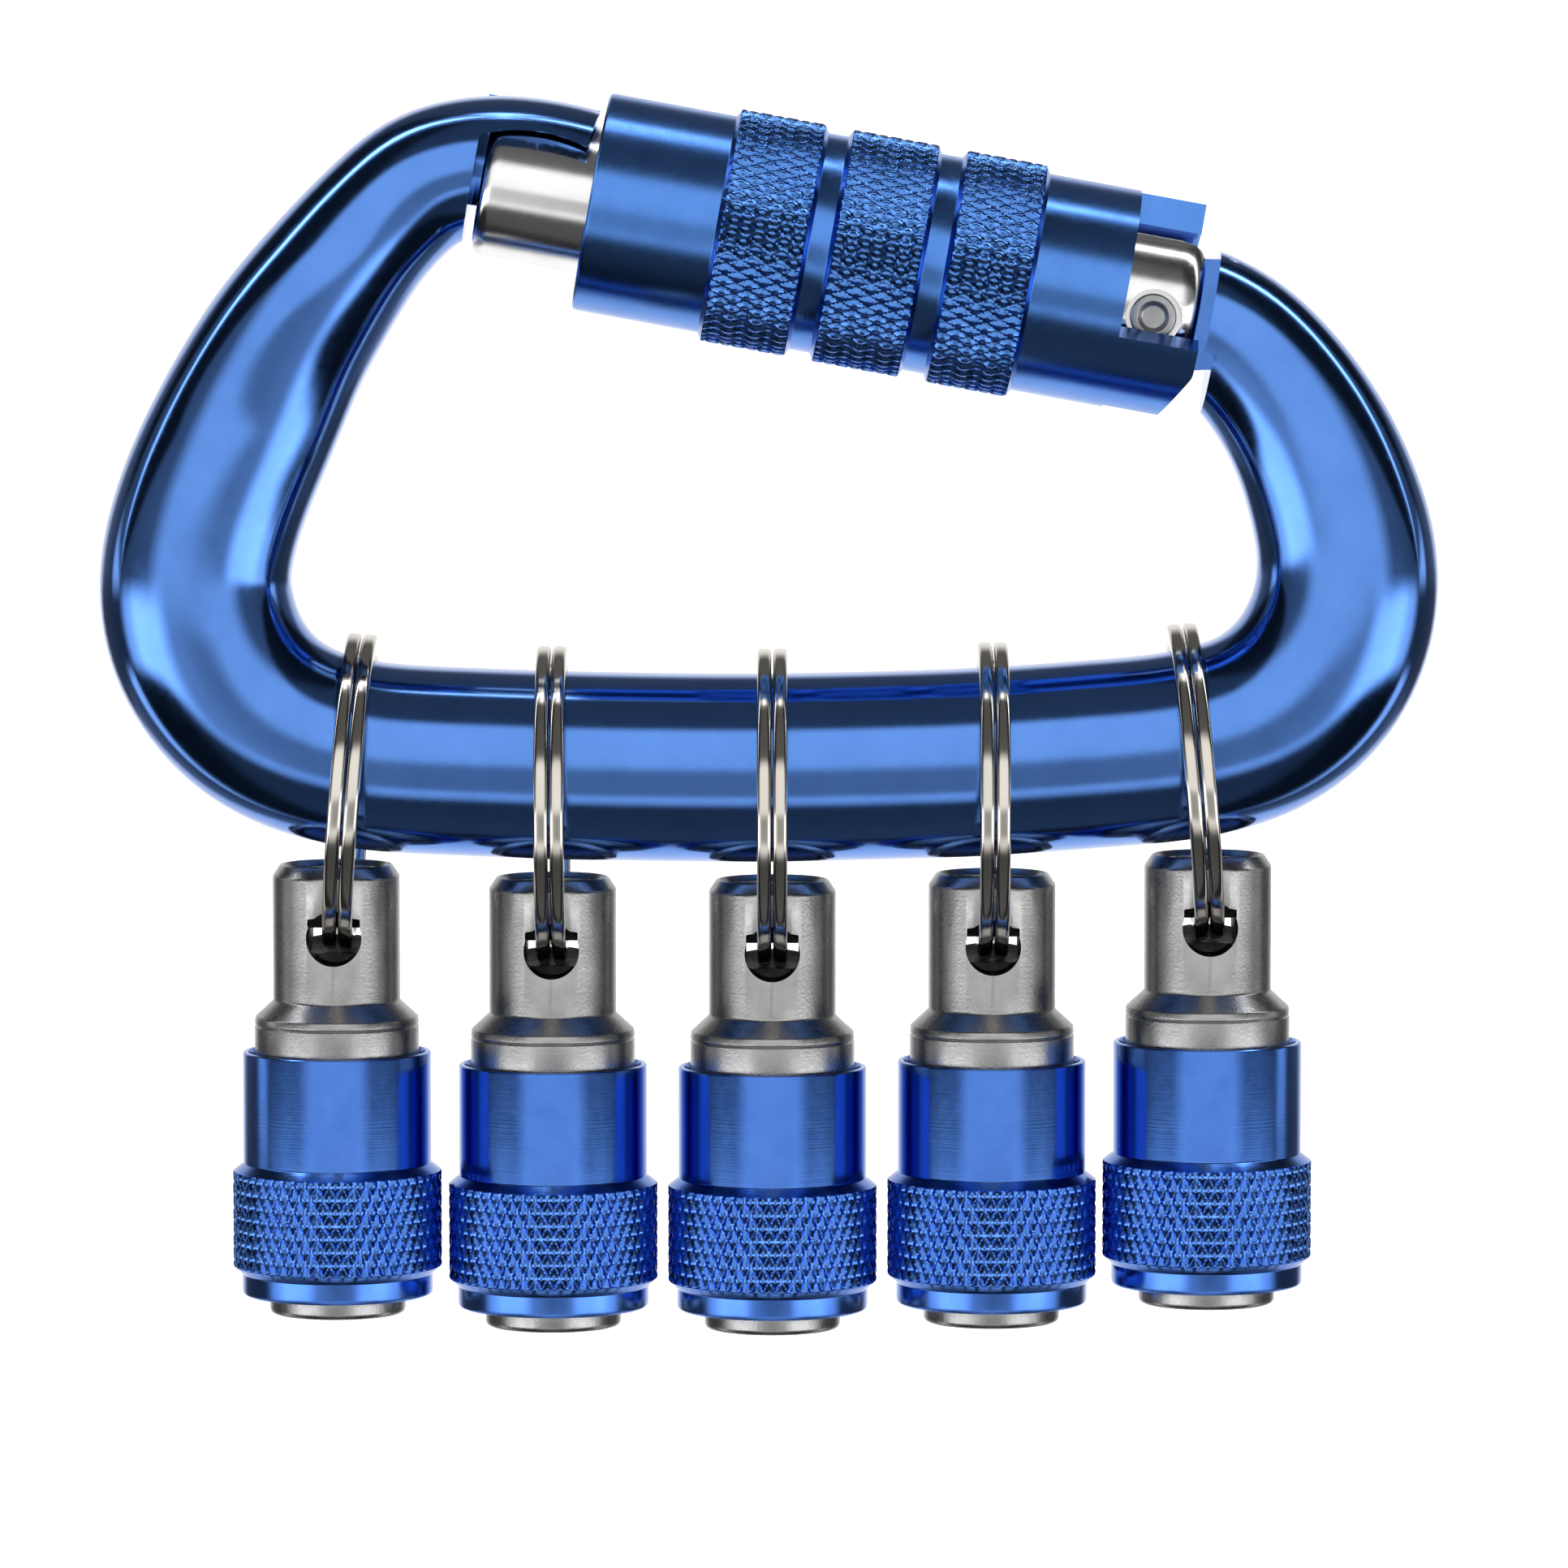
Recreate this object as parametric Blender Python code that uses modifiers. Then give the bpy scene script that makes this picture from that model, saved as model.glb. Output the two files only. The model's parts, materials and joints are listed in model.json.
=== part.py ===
"""Carabiner keyring: a locking carabiner whose spine carries five quick-release hex bit holders.

Lengths are millimetres until MM turns them into metres. The origin is where the frame hangs on a
hook, inside the bend next to the gate's nose. +X runs along the spine, +Z up, -Y towards the front.
"""
from math import cos, pi, radians, sin, sqrt

import bmesh
import bpy
from mathutils import Matrix, Vector

MM = 0.001

# Frame: centre line (x, z) and width in the plane of the loop, from the nose round to the hinge.
FRAME_STATIONS = (
    (12.5, 3.40, 9.0), (10.0, 4.25, 9.1), (6.2, 5.15, 9.2), (2.3, 5.35, 9.3), (-1.7, 4.35, 9.4), (-5.0, 1.45, 9.6), (-7.0, -0.9, 10.1),
    (-9.0, -3.6, 10.8), (-10.9, -6.4, 11.4), (-12.5, -9.4, 12.0), (-14.0, -12.5, 12.4),
    (-15.4, -15.6, 12.6), (-16.5, -18.8, 12.7), (-17.1, -22.1, 12.8), (-16.7, -25.5, 13.0),
    (-15.3, -28.6, 12.9), (-13.0, -31.2, 12.8), (-10.0, -32.9, 12.7), (-6.7, -33.8, 12.6),
    (-3.4, -34.2, 12.6), (3.4, -34.5, 12.6), (10.2, -34.7, 12.6), (20.3, -34.8, 12.6),
    (30.5, -34.6, 12.6), (37.3, -34.3, 12.6), (44.1, -33.8, 12.6), (47.4, -33.5, 12.6),
    (50.8, -32.9, 12.7), (54.0, -31.8, 12.7), (56.8, -29.7, 12.7), (58.7, -26.9, 12.6),
    (59.7, -23.6, 12.3), (59.7, -20.2, 12.0), (58.9, -16.9, 11.6), (57.7, -13.7, 11.1),
    (56.1, -10.8, 10.6), (54.0, -8.05, 10.2), (51.6, -5.9, 9.9), (48.6, -4.5, 9.7),
    (45.7, -3.7, 9.6),
)
FRAME_DEPTH_RATIO = 0.93          # depth over width of the frame's rounded section
SECTION_POINTS = 18

# Gate: s runs along its axis towards the hinge, t across it into the loop, both from the sleeve's rim.
GATE_ORIGIN = (9.354, 2.981)
GATE_TILT = 10.4                  # degrees the axis drops towards the hinge
GATE_RADIUS = 4.95
GATE_NOSE_S, GATE_END_S = -7.3, 41.0
GATE_EDGE = 0.9
GATE_FLANGE = (10.2, 11.0, 5.9)   # from s, to s, radius of the spring's seat
GATE_BORE_RADIUS, GATE_BORE_S = 2.3, 18.0
FORK_FLOOR_S, FORK_HALF = 33.4, 2.1
HINGE_S, HINGE_T = 38.0, 0.73
NOSE_RECESS_RADIUS, NOSE_OUTER_RADIUS = 5.25, 5.8
NOSE_RECESS_S, NOSE_CHEEK_T = -7.9, 1.8
NOSE_SWELL = (0.22, 20, -12, 12)  # share of extra depth, left of x, from z, over a height
NOSE_LIP_T, NOSE_LIP_ARCH = -2.95, 1.0
NOSE_SWEEP_RADIUS = 39.0          # nose end face, about the hinge
SHOULDER_S, SHOULDER_RELIEF_S, SHOULDER_RELIEF_T = 41.8, 42.4, 2.5
TENON_HALF, TENON_RADIUS = 1.8, 3.9

RIVET_RADIUS, RIVET_HOLE, RIVET_HEAD, RIVET_SINK = 1.0, 1.3, 1.53, 1.85
RIVET_FACE_Y, RIVET_HEAD_DEPTH, RIVET_SINK_Y = 4.55, 0.4, 3.9

# Sleeve: knurled bands as (from s, to s).
SLEEVE_RADIUS, KNURL_RADIUS, SLEEVE_BORE = 7.3, 7.82, 5.25
SLEEVE_BANDS = ((8.85, 14.45), (16.4, 22.1), (24.1, 29.4))
SLEEVE_MOUTH_RADIUS, SLEEVE_MOUTH_S = 6.45, 3.4
SLEEVE_POCKET_RADIUS, SLEEVE_POCKET_S = 6.4, (9.0, 27.0)
NOTCH_S, NOTCH_ANGLES = 35.9, (-102, 19)
TONGUE_S, TONGUE_BACK_S, TONGUE_CORNER = 41.2, 40.4, (4.2, 7.1, 39.6)
BUSH = (24.9, 26.7, 5.25, 6.1)    # from s, to s, bore, radius

# Split rings and holders: x of the holder, x of the ring's centre, lean of the ring in degrees.
HOLDERS = ((-7.75, -6.75, -4.1), (6.72, 6.72, 0.0), (21.42, 21.42, 0.0), (36.12, 36.12, 0.0),
           (50.55, 49.65, 4.5))
RING_INNER, RING_WALL = 9.3, 1.3
COIL_WIDTH, COIL_STEP = 0.92, 1.06
RING_GAP = 0.35
BAR_ARC = 5.86                    # radius of the spine's rounded upper side
RIM_BELOW_RING = 4.75
HOLE_RADIUS, HOLE_DROP, HOLE_FLOOR_Y = 1.85, 4.75, -1.0
TUNNEL = (9.1, 10.8, 1.75)      # radii about the ring's middle, half width
NECK_RADIUS, NECK_BORE, NECK_BORE_DEPTH = 4.25, 3.3, 2.4
SHOULDER_RADIUS, LOWER_RADIUS = 5.5, 4.55
HOLDER_LENGTH = 30.3
SOCKET_FLATS, SOCKET_DEPTH = 6.45, 9.5
COLLAR_TOP, COLLAR_END = 12.65, 29.05
COLLAR_RADIUS, COLLAR_KNURL, COLLAR_FOOT = 6.3, 7.0, 6.4
COLLAR_BORE, RIB_BORE, FOOT_BORE = 5.8, 4.85, 5.6
RIB = (25.4, 27.4)
BALL_RADIUS, BALL_HOLE, BALL_DROP, BALL_OUT = 0.95, 1.3, 26.5, 3.5
SNAP_DROP = 27.95

ROUND = 20                        # sides of the turned parts


def reset():
    for obj in list(bpy.data.objects):
        bpy.data.objects.remove(obj, do_unlink=True)


def collection(name, hidden=False):
    made = bpy.data.collections.new(name)
    bpy.context.scene.collection.children.link(made)
    made.hide_render = hidden
    return made


def material(name, colour, metallic, roughness):
    made = bpy.data.materials.new(name)
    made.use_nodes = True
    shader = made.node_tree.nodes["Principled BSDF"]
    shader.inputs["Base Color"].default_value = (*colour, 1.0)
    shader.inputs["Metallic"].default_value = metallic
    shader.inputs["Roughness"].default_value = roughness
    made.diffuse_color = (*colour, 1.0)
    return made


def finish(name, mesh, where, matrix, slot=None):
    obj = bpy.data.objects.new(name, mesh)
    where.objects.link(obj)
    obj.matrix_world = matrix
    if slot:
        mesh.materials.append(slot)
        bpy.context.view_layer.update()
        return obj
    obj.hide_render = True
    obj.display_type = "WIRE"
    return obj


def pivot(name, place, parent=None):
    """An empty on a joint's axis, which carries the pieces that the joint moves."""
    empty = bpy.data.objects.new(name, None)
    empty.empty_display_size = 5 * MM
    PARTS.objects.link(empty)
    empty.matrix_world = place
    bpy.context.view_layer.update()
    if parent:
        hang(parent, empty)
    return empty


def hang(parent, *pieces):
    """Parent each piece without moving it."""
    bpy.context.view_layer.update()
    for piece in pieces:
        piece.parent = parent
        piece.matrix_parent_inverse = parent.matrix_world.inverted()
    bpy.context.view_layer.update()


def clean(mesh):
    """Merge the doubled points that a curve leaves and point every face outwards."""
    bm = bmesh.new()
    bm.from_mesh(mesh)
    bmesh.ops.remove_doubles(bm, verts=bm.verts, dist=1e-7)
    bmesh.ops.recalc_face_normals(bm, faces=bm.faces)
    bm.to_mesh(mesh)
    bm.free()
    return mesh


def mesh_of(obj):
    bpy.context.view_layer.update()
    graph = bpy.context.evaluated_depsgraph_get()
    mesh = clean(bpy.data.meshes.new_from_object(obj.evaluated_get(graph)))
    bpy.data.objects.remove(obj, do_unlink=True)
    return mesh


def flat_curve(points):
    curve = bpy.data.curves.new("outline", "CURVE")
    curve.dimensions = "2D"
    spline = curve.splines.new("POLY")
    spline.points.add(len(points) - 1)
    for place, point in zip(spline.points, points):
        place.co = (point[0] * MM, point[1] * MM, 0, 1)
    spline.use_cyclic_u = True
    return curve


def prism(points, low, high, across=False):
    """A closed outline drawn in local XY and extruded along Z, or drawn in XZ and extruded along Y."""
    curve = flat_curve(points)
    curve.fill_mode = "BOTH"
    curve.extrude = (high - low) / 2 * MM
    obj = bpy.data.objects.new("outline", curve)
    bpy.context.scene.collection.objects.link(obj)
    mesh = mesh_of(obj)
    mesh.transform(Matrix.Translation((0, 0, (high + low) / 2 * MM)))
    if across:
        mesh.transform(Matrix.Rotation(pi / 2, 4, "X"))
    return clean(mesh)


def cylinder(radius, low, high, sides=ROUND, across=None):
    """Along local Z, or along local Y through the point across = (x, z)."""
    bm = bmesh.new()
    bmesh.ops.create_cone(bm, cap_ends=True, segments=sides, radius1=radius * MM,
                          radius2=radius * MM, depth=(high - low) * MM)
    bmesh.ops.translate(bm, verts=bm.verts, vec=(0, 0, (high + low) / 2 * MM))
    mesh = bpy.data.meshes.new("cylinder")
    bm.to_mesh(mesh)
    bm.free()
    if across:
        mesh.transform(Matrix.Rotation(pi / 2, 4, "X"))
        mesh.transform(Matrix.Translation((across[0] * MM, 0, across[1] * MM)))
    return mesh


def box(low, high):
    bm = bmesh.new()
    bmesh.ops.create_cube(bm, size=1)
    for vert in bm.verts:
        vert.co = [(a if c < 0 else b) * MM for a, b, c in zip(low, high, vert.co)]
    mesh = bpy.data.meshes.new("box")
    bm.to_mesh(mesh)
    bm.free()
    return mesh


def turned(profile, sides=ROUND):
    """A (radius, height) outline spun about local Z, clockwise. It closes itself, or on the axis."""
    count = len(profile)
    edges = count - 1 if profile[0][0] == profile[-1][0] == 0 else count
    mesh = bpy.data.meshes.new("profile")
    mesh.from_pydata([(r * MM, 0, z * MM) for r, z in profile],
                     [(i, (i + 1) % count) for i in range(edges)], [])
    obj = bpy.data.objects.new("profile", mesh)
    bpy.context.scene.collection.objects.link(obj)
    screw = obj.modifiers.new("spin", "SCREW")
    screw.steps = screw.render_steps = sides
    screw.use_merge_vertices = True
    screw.merge_threshold = 0.00001
    return mesh_of(obj)


def combine(obj, mesh, operation="DIFFERENCE"):
    """Cut obj with mesh, or join them, in obj's own local frame."""
    helper = finish(f"{obj.name}_{operation.lower()}_{len(obj.modifiers)}", mesh, CUTTERS,
                    obj.matrix_world.copy())
    step = obj.modifiers.new(helper.name, "BOOLEAN")
    step.operation = operation
    step.solver = "EXACT"
    step.object = helper


def swept(path, profile, flat=False):
    """The mesh of a profile carried along a path of (point, scale), with filled ends.

    A flat path lies in its own XY plane, which keeps the profile's Y square to that plane.
    """
    section = flat_curve(profile)
    section_obj = bpy.data.objects.new("section", section)
    bpy.context.scene.collection.objects.link(section_obj)
    curve = bpy.data.curves.new("path", "CURVE")
    curve.dimensions = "2D" if flat else "3D"
    curve.twist_mode = "Z_UP"
    spline = curve.splines.new("POLY")
    spline.points.add(len(path) - 1)
    for place, (point, scale) in zip(spline.points, path):
        place.co = (*(Vector(point) * MM), 1)
        place.radius = scale
    curve.bevel_mode = "OBJECT"
    curve.bevel_object = section_obj
    curve.use_fill_caps = True
    obj = bpy.data.objects.new("path", curve)
    bpy.context.scene.collection.objects.link(obj)
    mesh = mesh_of(obj)
    bpy.data.objects.remove(section_obj, do_unlink=True)
    return mesh


def coil(radius, wire, low, high, turns, steps=10):
    """A closed-ended compression spring about local Z, of square wire four sides round."""
    count = int(turns * steps)
    low, high = low + wire / 2, high - wire / 2
    path = []
    for i in range(count + 1):
        part = min(max((i / steps - 0.75) / (turns - 1.5), 0), 1)
        a = 2 * pi * i / steps
        lift = wire * 1.12 * (min(i / steps, 0.75) + max(i / steps - turns + 0.75, 0))
        z = low + lift + (high - low - 1.5 * 1.12 * wire) * part
        path.append(((radius * cos(a), radius * sin(a), z), 1.0))
    half = wire / 2
    return swept(path, [(half * cos(pi * k / 2), half * sin(pi * k / 2)) for k in range(4)])


def along(stations, parts):
    """Stations joined by a smooth curve with the given number of steps between each pair."""
    ends = [tuple(2 * a - b for a, b in zip(stations[0], stations[1]))]
    ends += list(stations)
    ends.append(tuple(2 * a - b for a, b in zip(stations[-1], stations[-2])))
    out = []
    for i in range(1, len(ends) - 2):
        for step in range(parts):
            u = step / parts
            out.append(tuple(
                0.5 * (2 * b + (c - a) * u + (2 * a - 5 * b + 4 * c - d) * u * u
                       + (3 * b - a - 3 * c + d) * u ** 3)
                for a, b, c, d in zip(*ends[i - 1:i + 3])))
    out.append(stations[-1])
    return out


def round_section(ratio, points):
    """A unit-high outline with semicircular ends, ratio deep."""
    radius = ratio / 2
    half = points // 2
    out = []
    for side in (1, -1):
        for i in range(half):
            a = -pi / 2 + pi * i / (half - 1)
            out.append((side * (0.5 - radius + radius * cos(a)), side * radius * sin(a)))
    return out


def gate_matrix():
    tilt = radians(GATE_TILT)
    x, z = GATE_ORIGIN
    return Matrix(((-sin(tilt), 0, cos(tilt), x * MM), (0, 1, 0, 0),
                   (-cos(tilt), 0, -sin(tilt), z * MM), (0, 0, 0, 1)))


def about_hinge(radius, start, end, steps=10):
    """Points (t, s) on an arc about the hinge, angles measured from +s towards +t."""
    angles = [radians(start + (end - start) * i / steps) for i in range(steps + 1)]
    return [(HINGE_T + radius * sin(a), HINGE_S + radius * cos(a)) for a in angles]


def build_frame():
    path = [((x, z, 0), w) for x, z, w in along(FRAME_STATIONS, 2)]
    mesh = swept(path, round_section(FRAME_DEPTH_RATIO, SECTION_POINTS), flat=True)
    # The sweep stands up in world axes, then is carried into the gate's frame for its cuts.
    mesh.transform(Matrix.Rotation(pi / 2, 4, "X"))
    share, right, bottom, height = NOSE_SWELL
    for vert in mesh.vertices:
        rise = min(max((vert.co.z / MM - bottom) / height, 0), 1)
        if vert.co.x < right * MM:
            vert.co.y *= 1 + share * rise * rise * (3 - 2 * rise)
    mesh.transform(GATE.inverted())
    frame = finish("frame", mesh, PARTS, GATE, ANODISED)

    # The cheek behind the gate's nose.
    cheek = finish("nose_cheek", cylinder(NOSE_OUTER_RADIUS, NOSE_RECESS_S - 1, 0.5, 28), CUTTERS, GATE)
    combine(cheek, box((NOSE_CHEEK_T, -8, -13), (14, 8, 2)))
    combine(cheek, box((-8, -8, -13), (8, 0.5, 2)))
    join = frame.modifiers.new("nose", "BOOLEAN")
    join.operation, join.solver, join.object = "UNION", "EXACT", cheek
    combine(frame, cylinder(NOSE_RECESS_RADIUS, NOSE_RECESS_S, 6, 28))
    combine(frame, box((0, -8, NOSE_RECESS_S), (14, NOSE_RECESS_RADIUS, 6)))
    mid, half = (NOSE_RECESS_S + 0.3) / 2, -NOSE_RECESS_S / 2 + 0.4
    arch = (half ** 2 + NOSE_LIP_ARCH ** 2) / (2 * NOSE_LIP_ARCH)
    arc = [(NOSE_LIP_T - NOSE_LIP_ARCH + arch - sqrt(arch ** 2 - (half * i / 5) ** 2),
            mid + half * i / 5) for i in range(-5, 6)]
    arc[0] = (arc[0][0], NOSE_RECESS_S)
    combine(frame, prism(arc + [(14, 1.5), (14, NOSE_RECESS_S)], 0, 8, across=True))
    sweep = about_hinge(NOSE_SWEEP_RADIUS, 177, 192)
    combine(frame, prism(sweep + [(sweep[-1][0], 8), (sweep[0][0], 8)], -8, 8, across=True))

    combine(frame, box((-14, -8, 25), (14, 8, SHOULDER_S)))
    combine(frame, box((SHOULDER_RELIEF_T, -8, 25), (14, 8, SHOULDER_RELIEF_S)))
    tenon = about_hinge(TENON_RADIUS, 90, 270, 12)
    combine(frame, prism(tenon + [(-3.9, 42.6), (-1.5, 46), (2.6, 46), (3.4, 43)],
                         -TENON_HALF, TENON_HALF, across=True), "UNION")
    combine(frame, cylinder(RIVET_HOLE, -4, 4, 16, across=(HINGE_T, HINGE_S)))
    return frame


def build_gate():
    r, e, far = GATE_RADIUS, GATE_EDGE, 1.6
    low, high, seat = GATE_FLANGE
    profile = [(0, GATE_END_S), (r - far, GATE_END_S), (r - far * 0.3, GATE_END_S - far * 0.3),
               (r, GATE_END_S - far), (r, high), (seat, high), (seat, low), (r, low),
               (r, GATE_NOSE_S + e), (r - e * 0.3, GATE_NOSE_S + e * 0.3),
               (r - e, GATE_NOSE_S), (0, GATE_NOSE_S)]
    gate = finish("gate", turned(profile, 24), PARTS, GATE, SILVER)
    combine(gate, box((-8, -FORK_HALF, FORK_FLOOR_S), (8, FORK_HALF, 44)))
    combine(gate, cylinder(GATE_BORE_RADIUS, GATE_BORE_S, FORK_FLOOR_S + 1, 16))
    where = (HINGE_T, HINGE_S)
    combine(gate, cylinder(RIVET_HOLE, -7, 7, 16, across=where))
    for side in (-1, 1):
        low, high = sorted((side * RIVET_SINK_Y, side * 7))
        combine(gate, cylinder(RIVET_SINK, low, high, 16, across=where))

    head, face, deep = RIVET_HEAD, RIVET_FACE_Y, RIVET_HEAD_DEPTH
    half = [(0, face - 0.25), (0.7, face - 0.25), (1.1, face), (head, face), (head, face - deep),
            (RIVET_RADIUS, face - deep)]
    rivet = turned(half + [(a, -b) for a, b in reversed(half)], 16)
    rivet.transform(Matrix.Rotation(pi / 2, 4, "X"))
    rivet.transform(Matrix.Translation((HINGE_T * MM, 0, HINGE_S * MM)))
    finish("hinge_rivet", rivet, PARTS, GATE, STEEL)

    spring = finish("gate_spring", coil(1.6, 0.5, 18.4, 29.6, 6, 8), PARTS, GATE, SPRING)
    plunger = turned([(0, 33.6), (1.0, 33.5), (2.0, 32.8), (2.0, 30), (0, 30)], 16)
    plunger = finish("gate_plunger", plunger, PARTS, GATE, STEEL)
    hinge = pivot("gate_hinge", GATE @ Matrix.Translation(Vector((HINGE_T, 0, HINGE_S)) * MM))
    hang(hinge, gate, spring, plunger)
    return hinge


def build_sleeve(hinge):
    r, k, c = SLEEVE_RADIUS, KNURL_RADIUS, 0.3
    outer = [(SLEEVE_BORE + 0.3, 43), (r, 43)]
    for low, high in reversed(SLEEVE_BANDS):
        outer += [(r, high + c), (k, high), (k, low), (r, low - c)]
    outer += [(r, c), (r - c, 0)]
    p0, p1 = SLEEVE_POCKET_S
    inner = [(SLEEVE_MOUTH_RADIUS, 0), (SLEEVE_MOUTH_RADIUS, SLEEVE_MOUTH_S),
             (SLEEVE_BORE, SLEEVE_MOUTH_S), (SLEEVE_BORE, p0), (SLEEVE_POCKET_RADIUS, p0),
             (SLEEVE_POCKET_RADIUS, p1), (SLEEVE_BORE, p1), (SLEEVE_BORE, 42.7)]
    sleeve = finish("locking_sleeve", turned(outer + inner, 28), PARTS, GATE, SATIN_BLUE)
    for turn in (0, 180):
        angles = [radians(turn + NOTCH_ANGLES[0] + (NOTCH_ANGLES[1] - NOTCH_ANGLES[0]) * i / 4)
                  for i in range(5)]
        wedge = [(0, 0)] + [(14 * sin(a), -14 * cos(a)) for a in angles]
        combine(sleeve, prism(wedge, NOTCH_S, 50))
    start, far, drop = TONGUE_CORNER
    end = [(-9, TONGUE_BACK_S), (0, TONGUE_BACK_S), (0, TONGUE_S), (start, TONGUE_S), (far, drop),
           (9, drop - 1.2), (9, 50), (-9, 50)]
    combine(sleeve, prism(end, -9, 9, across=True))

    low, high, bore, radius = BUSH
    bush = turned([(bore, high), (radius, high), (radius, low), (bore, low)])
    bush = finish("sleeve_bush", bush, PARTS, GATE, BRASS)
    spring = finish("sleeve_spring", coil(5.72, 0.6, 11.3, 22.0, 4, 12), PARTS, GATE, SPRING)
    hang(bush, sleeve)
    hang(hinge, bush, spring)


def bar_top(x):
    """Height of the spine's upper surface above x, and its slope."""
    path = [p for p in along(FRAME_STATIONS, 6) if p[1] < -25]
    best = []
    for (x0, z0, w0), (x1, z1, _) in zip(path, path[1:]):
        run, rise = x1 - x0, z1 - z0
        length = sqrt(run * run + rise * rise)
        best.append((x0 - rise / length * w0 / 2, z0 + run / length * w0 / 2))
    for (x0, z0), (x1, z1) in zip(best, best[1:]):
        if x0 <= x <= x1 and -15 < x0 < 56:
            return z0 + (z1 - z0) * (x - x0) / (x1 - x0)
    raise ValueError(x)


def build_ring(number, x, lean):
    """Two flat turns of one wire with a short step between them, at the back of the ring."""
    lean = radians(lean)
    top_x = x - (RING_INNER - 0.3) * sin(lean)
    centre = Vector((x, 0, bar_top(top_x) + RING_GAP - RING_INNER * cos(lean)))
    step, gap, count = radians(32), radians(3), 40
    start, end = step + gap, 4 * pi - step - gap
    middle = RING_INNER + RING_WALL / 2
    path = []
    for i in range(count + 1):
        a = start + (end - start) * i / count
        part = min(max((a - (2 * pi - step)) / (2 * step), 0), 1)
        side = COIL_STEP * (part - 0.5)
        path.append(((middle * sin(a), middle * cos(a), side), 1.0))
    half_w, half_r = COIL_WIDTH / 2, RING_WALL / 2
    mesh = swept(path, [(half_r, half_w), (-half_r, half_w), (-half_r, -half_w), (half_r, -half_w)])
    # Local x becomes world y, so the step lies at the back, and local z becomes the spine's direction.
    mesh.transform(Matrix(((0, 0, 1, 0), (0, 1, 0, 0), (-1, 0, 0, 0), (0, 0, 0, 1))))
    place = Matrix.Translation(centre * MM) @ Matrix.Rotation(-lean, 4, "Y")
    ring = finish(f"split_ring_{number}", mesh, PARTS, place, NICKEL)
    cheek = centre + Vector((0, 0, RING_INNER - RING_GAP - BAR_ARC))
    swing = pivot(f"ring_swing_axis_{number}", Matrix.Translation(cheek * MM))
    hang(swing, ring)
    return swing, centre


def build_holder(number, x, ring_swing, ring_centre):
    """One quick-release holder, drawn downwards from the middle of its rim."""
    place = Matrix.Translation(Vector((x, 0, ring_centre.z - RIM_BELOW_RING)) * MM)
    swing = pivot(f"holder_swing_axis_{number}", Matrix.Translation(ring_centre * MM), ring_swing)
    end, low, neck = -HOLDER_LENGTH, LOWER_RADIUS, NECK_RADIUS
    body = turned([
        (3.72, 0), (neck, -0.85), (neck, -9.2), (SHOULDER_RADIUS, -10.35), (SHOULDER_RADIUS, -15),
        (low, -15), (low, -27.6), (4.1, -27.6), (4.1, -28.3), (low, -28.3), (low, end + 0.3),
        (low - 0.3, end), (0, end), (0, -NECK_BORE_DEPTH), (NECK_BORE, -NECK_BORE_DEPTH + 0.8),
        (NECK_BORE, -0.4)])
    holder = finish(f"holder_{number}", body, PARTS, place, STEEL)
    combine(holder, cylinder(HOLE_RADIUS, -HOLE_FLOOR_Y, 6, 16, across=(0, -HOLE_DROP)))
    inner, outer, half = TUNNEL
    tunnel = turned([(inner, half), (outer, half), (outer, -half), (inner, -half)], 64)
    tunnel.transform(Matrix.Translation((0, 0, RIM_BELOW_RING * MM)) @ Matrix.Rotation(pi / 2, 4, "Y"))
    combine(holder, tunnel)
    socket = cylinder(SOCKET_FLATS / sqrt(3), end - 1, end + SOCKET_DEPTH, 6)
    socket.transform(Matrix.Rotation(pi / 6 if round(socket.vertices[0].co.x, 6) == 0 else 0, 4, "Z"))
    combine(holder, socket)
    combine(holder, cylinder(BALL_HOLE, 1, 6, 10, across=(0, -BALL_DROP)))

    c = 0.45
    collar = turned([
        (COLLAR_BORE + 0.15, -COLLAR_TOP), (COLLAR_RADIUS - 0.2, -COLLAR_TOP),
        (COLLAR_RADIUS, -COLLAR_TOP - 0.3), (COLLAR_RADIUS, -20.1), (COLLAR_KNURL, -20.65),
        (COLLAR_KNURL, -27.1), (COLLAR_FOOT, -27.6), (COLLAR_FOOT, -COLLAR_END + c),
        (COLLAR_FOOT - c, -COLLAR_END), (FOOT_BORE, -COLLAR_END), (FOOT_BORE, -RIB[1]),
        (RIB_BORE, -RIB[1]), (RIB_BORE, -RIB[0]), (COLLAR_BORE, -RIB[0])])
    collar = finish(f"collar_{number}", collar, PARTS, place, BRIGHT_BLUE)
    spring = coil(5.15, 0.5, -RIB[0] + 0.15, -15.15, 4.5, 8)
    spring = finish(f"collar_spring_{number}", spring, PARTS, place, SPRING)

    ball = bpy.data.meshes.new("ball")
    bm = bmesh.new()
    bmesh.ops.create_uvsphere(bm, u_segments=8, v_segments=6, radius=BALL_RADIUS * MM)
    bm.to_mesh(ball)
    bm.free()
    ball.transform(Matrix.Translation(Vector((0, -BALL_OUT, -BALL_DROP)) * MM))
    ball = finish(f"lock_ball_{number}", ball, PARTS, place, CHROME)
    inner, outer, thick = 4.4, 5.25, 0.35
    snap = prism([(r * cos(a), r * sin(a)) for r, angles in (
        (outer, range(20, 341, 32)), (inner, range(340, 19, -32))) for a in map(radians, angles)],
        -SNAP_DROP - thick / 2, -SNAP_DROP + thick / 2)
    snap = finish(f"snap_ring_{number}", snap, PARTS, place, SPRING)
    hang(swing, holder, collar, spring, ball, snap)


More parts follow.
